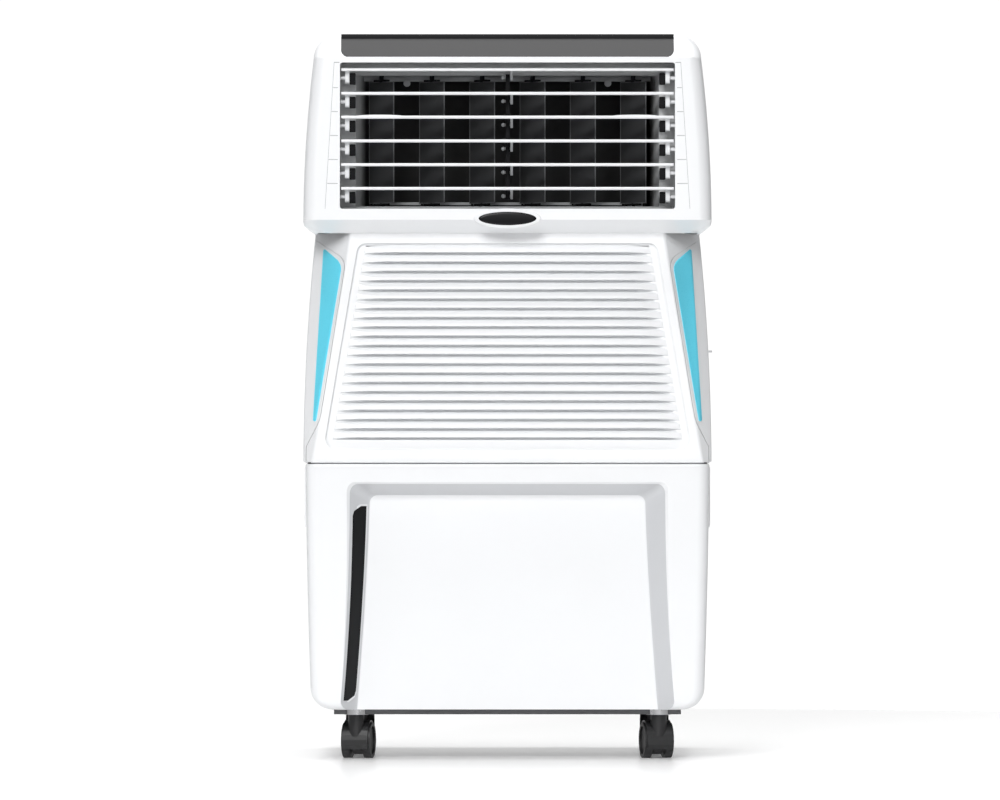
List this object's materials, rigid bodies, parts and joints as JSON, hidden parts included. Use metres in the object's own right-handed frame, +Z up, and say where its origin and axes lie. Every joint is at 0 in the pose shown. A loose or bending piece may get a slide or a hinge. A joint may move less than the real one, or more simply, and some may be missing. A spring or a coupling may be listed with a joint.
{
  "type": "evaporative air cooler",
  "caption": "Tall white evaporative air cooler on twin-wheel castors: water tank below, ribbed middle panel, louvred air outlet in the head, removable rear grille with filter and wet pad",
  "frame": {"origin": "on the floor, under the middle of the cabinet's width and depth", "axes": "+Z up, the air outlet faces -Y, +X is to the right for someone who faces the outlet"},
  "size_m": [0.4678, 0.4, 0.818],
  "materials": {
    "white_shell": "smooth moulded white",
    "white_parts": "smooth moulded white",
    "charcoal": "satin charcoal",
    "dark_grey": "fine matte",
    "duct_grey": "fine matte",
    "black": "matte black",
    "window": "smoked gloss",
    "badge": "gloss black with a bare face",
    "aqua": "gloss light blue",
    "clear_grey": "natural plastic",
    "pad": "fluted cellulose",
    "mesh": "woven nylon",
    "hose": "soft PVC",
    "motor": "grey enamel",
    "steel": "plain steel",
    "brass": "turned brass",
    "board": "circuit board",
    "tyre": "hard rubber",
    "float_red": "hollow moulding"
  },
  "bodies": {
    "cabinet": {"water_tank": "white_shell", "base_plate": "dark_grey", "castor_sockets": "steel", "level_window": "window", "side_handles": "white_parts", "pump_deck": "clear_grey", "body_shell": "white_shell", "pad_frame": "white_shell", "front_panel": "white_parts", "accent_inserts": "aqua", "head_bezel": "white_shell", "top_cover": "white_shell", "control_fascia": "charcoal", "control_board": "board", "badge_plate": "badge", "honeycomb_pad": "pad", "water_distributor": "clear_grey", "pump_body": "dark_grey", "delivery_hose": "hose", "blower_volute": "clear_grey", "inlet_ring": "clear_grey", "fan_motor": "motor", "motor_bracket": "steel", "run_capacitor": "white_parts", "air_plenum": "duct_grey", "swing_motor": "steel", "fill_chute": "clear_grey", "float_valve": "brass", "cord_gland": "black", "housing_screws": "steel"},
    "rear_cover": {"rear_grille": "white_parts", "filter_screen": "mesh"},
    "blower": {"blower_wheel": "dark_grey", "motor_shaft": "steel"},
    "impeller": {"pump_impeller": "black"},
    "flap": {"fill_flap": "white_parts"},
    "float": {"float_arm": "float_red"},
    "drain": {"drain_plug": "black"},
    "louvre_bar": {"louvre_link": "black"},
    "vane_bar": {"vane_link": "black"},
    "louvre_blade_1": {"louvre_1": "white_parts"},
    "vane_leaf_1": {"vane_1": "dark_grey"},
    "louvre_blade_2": {"louvre_2": "white_parts"},
    "vane_leaf_2": {"vane_2": "dark_grey"},
    "louvre_blade_3": {"louvre_3": "white_parts"},
    "vane_leaf_3": {"vane_3": "dark_grey"},
    "louvre_blade_4": {"louvre_4": "white_parts"},
    "vane_leaf_4": {"vane_4": "dark_grey"},
    "louvre_blade_5": {"louvre_5": "white_parts"},
    "vane_leaf_5": {"vane_5": "dark_grey"},
    "louvre_blade_6": {"louvre_6": "white_parts"},
    "vane_leaf_6": {"vane_6": "dark_grey"},
    "castor_1": {"castor_hood_1": "black"},
    "wheels_1": {"castor_wheels_1": "tyre"},
    "castor_2": {"castor_hood_2": "black"},
    "wheels_2": {"castor_wheels_2": "tyre"},
    "castor_3": {"castor_hood_3": "black"},
    "wheels_3": {"castor_wheels_3": "tyre"},
    "castor_4": {"castor_hood_4": "black"},
    "wheels_4": {"castor_wheels_4": "tyre"}
  },
  "joints": [
    {"name": "louvre_turn_1", "type": "hinge", "parent": "cabinet", "child": "louvre_blade_1", "pos_m": [0, -0.16813, 0.768], "axis": [1, 0, 0], "range_deg": [-30, 30]},
    {"name": "louvre_turn_2", "type": "hinge", "parent": "cabinet", "child": "louvre_blade_2", "pos_m": [0, -0.17003, 0.74119], "axis": [1, 0, 0], "range_deg": [-30, 30]},
    {"name": "louvre_turn_3", "type": "hinge", "parent": "cabinet", "child": "louvre_blade_3", "pos_m": [0, -0.17193, 0.71437], "axis": [1, 0, 0], "range_deg": [-30, 30]},
    {"name": "louvre_turn_4", "type": "hinge", "parent": "cabinet", "child": "louvre_blade_4", "pos_m": [0, -0.17383, 0.68756], "axis": [1, 0, 0], "range_deg": [-30, 30]},
    {"name": "louvre_turn_5", "type": "hinge", "parent": "cabinet", "child": "louvre_blade_5", "pos_m": [0, -0.17573, 0.66075], "axis": [1, 0, 0], "range_deg": [-30, 30]},
    {"name": "louvre_turn_6", "type": "hinge", "parent": "cabinet", "child": "louvre_blade_6", "pos_m": [0, -0.17763, 0.63394], "axis": [1, 0, 0], "range_deg": [-30, 30]},
    {"name": "louvre_bar_pivot", "type": "hinge", "parent": "louvre_blade_3", "child": "louvre_bar", "pos_m": [0, -0.15993, 0.71537], "axis": [1, 0, 0], "range_deg": [-30, 30]},
    {"name": "vane_turn_1", "type": "hinge", "parent": "cabinet", "child": "vane_leaf_1", "pos_m": [-0.1425, -0.122, 0.7], "axis": [0, 0, 1], "range_deg": [-80, 0]},
    {"name": "vane_turn_2", "type": "hinge", "parent": "cabinet", "child": "vane_leaf_2", "pos_m": [-0.0855, -0.122, 0.7], "axis": [0, 0, 1], "range_deg": [-80, 0]},
    {"name": "vane_turn_3", "type": "hinge", "parent": "cabinet", "child": "vane_leaf_3", "pos_m": [-0.0285, -0.122, 0.7], "axis": [0, 0, 1], "range_deg": [-80, 0]},
    {"name": "vane_turn_4", "type": "hinge", "parent": "cabinet", "child": "vane_leaf_4", "pos_m": [0.0285, -0.122, 0.7], "axis": [0, 0, 1], "range_deg": [-80, 0]},
    {"name": "vane_turn_5", "type": "hinge", "parent": "cabinet", "child": "vane_leaf_5", "pos_m": [0.0855, -0.122, 0.7], "axis": [0, 0, 1], "range_deg": [-80, 0]},
    {"name": "vane_turn_6", "type": "hinge", "parent": "cabinet", "child": "vane_leaf_6", "pos_m": [0.1425, -0.122, 0.7], "axis": [0, 0, 1], "range_deg": [-80, 0]},
    {"name": "vane_bar_pivot", "type": "hinge", "parent": "vane_leaf_1", "child": "vane_bar", "pos_m": [-0.15407, -0.10821, 0.624], "axis": [0, 0, 1], "range_deg": [0, 80]},
    {"name": "blower_spin", "type": "hinge", "parent": "cabinet", "child": "blower", "pos_m": [0, -0.057, 0.4775], "axis": [0, 1, 0], "continuous": true},
    {"name": "impeller_spin", "type": "hinge", "parent": "cabinet", "child": "impeller", "pos_m": [0.136, 0.085, 0.075], "axis": [0, 0, 1], "continuous": true},
    {"name": "castor_swivel_1", "type": "hinge", "parent": "cabinet", "child": "castor_1", "pos_m": [-0.171, -0.14, 0.045], "axis": [0, 0, 1], "continuous": true},
    {"name": "wheel_roll_1", "type": "hinge", "parent": "castor_1", "child": "wheels_1", "pos_m": [-0.16857, -0.12621, 0.02], "axis": [0.9848, -0.1736, 0], "continuous": true},
    {"name": "castor_swivel_2", "type": "hinge", "parent": "cabinet", "child": "castor_2", "pos_m": [0.171, -0.14, 0.045], "axis": [0, 0, 1], "continuous": true},
    {"name": "wheel_roll_2", "type": "hinge", "parent": "castor_2", "child": "wheels_2", "pos_m": [0.16857, -0.12621, 0.02], "axis": [0.9848, 0.1736, 0], "continuous": true},
    {"name": "castor_swivel_3", "type": "hinge", "parent": "cabinet", "child": "castor_3", "pos_m": [-0.171, 0.14, 0.045], "axis": [0, 0, 1], "continuous": true},
    {"name": "wheel_roll_3", "type": "hinge", "parent": "castor_3", "child": "wheels_3", "pos_m": [-0.171, 0.154, 0.02], "axis": [1, 0, 0], "continuous": true},
    {"name": "castor_swivel_4", "type": "hinge", "parent": "cabinet", "child": "castor_4", "pos_m": [0.171, 0.14, 0.045], "axis": [0, 0, 1], "continuous": true},
    {"name": "wheel_roll_4", "type": "hinge", "parent": "castor_4", "child": "wheels_4", "pos_m": [0.171, 0.154, 0.02], "axis": [1, 0, 0], "continuous": true},
    {"name": "flap_open", "type": "hinge", "parent": "cabinet", "child": "flap", "pos_m": [0.22528, 0.103, 0.388], "axis": [0, 1, 0], "range_deg": [0, 45]},
    {"name": "float_lift", "type": "hinge", "parent": "cabinet", "child": "float", "pos_m": [-0.12, 0.149, 0.306], "axis": [-1, 0, 0], "range_deg": [0, 28]},
    {"name": "drain_pull", "type": "slide", "parent": "cabinet", "child": "drain", "axis": [0, 1, 0], "range_m": [0, 0.03]},
    {"name": "rear_cover_pull", "type": "slide", "parent": "cabinet", "child": "rear_cover", "axis": [0, 1, 0], "range_m": [0, 0.12]}
  ],
  "couplings": [
    {"joint": "louvre_turn_1", "follows": "louvre_turn_3", "ratio": 1},
    {"joint": "louvre_turn_2", "follows": "louvre_turn_3", "ratio": 1},
    {"joint": "louvre_turn_4", "follows": "louvre_turn_3", "ratio": 1},
    {"joint": "louvre_turn_5", "follows": "louvre_turn_3", "ratio": 1},
    {"joint": "louvre_turn_6", "follows": "louvre_turn_3", "ratio": 1},
    {"joint": "louvre_bar_pivot", "follows": "louvre_turn_3", "ratio": -1},
    {"joint": "vane_turn_2", "follows": "vane_turn_1", "ratio": 1},
    {"joint": "vane_turn_3", "follows": "vane_turn_1", "ratio": 1},
    {"joint": "vane_turn_4", "follows": "vane_turn_1", "ratio": 1},
    {"joint": "vane_turn_5", "follows": "vane_turn_1", "ratio": 1},
    {"joint": "vane_turn_6", "follows": "vane_turn_1", "ratio": 1},
    {"joint": "vane_bar_pivot", "follows": "vane_turn_1", "ratio": -1}
  ]
}
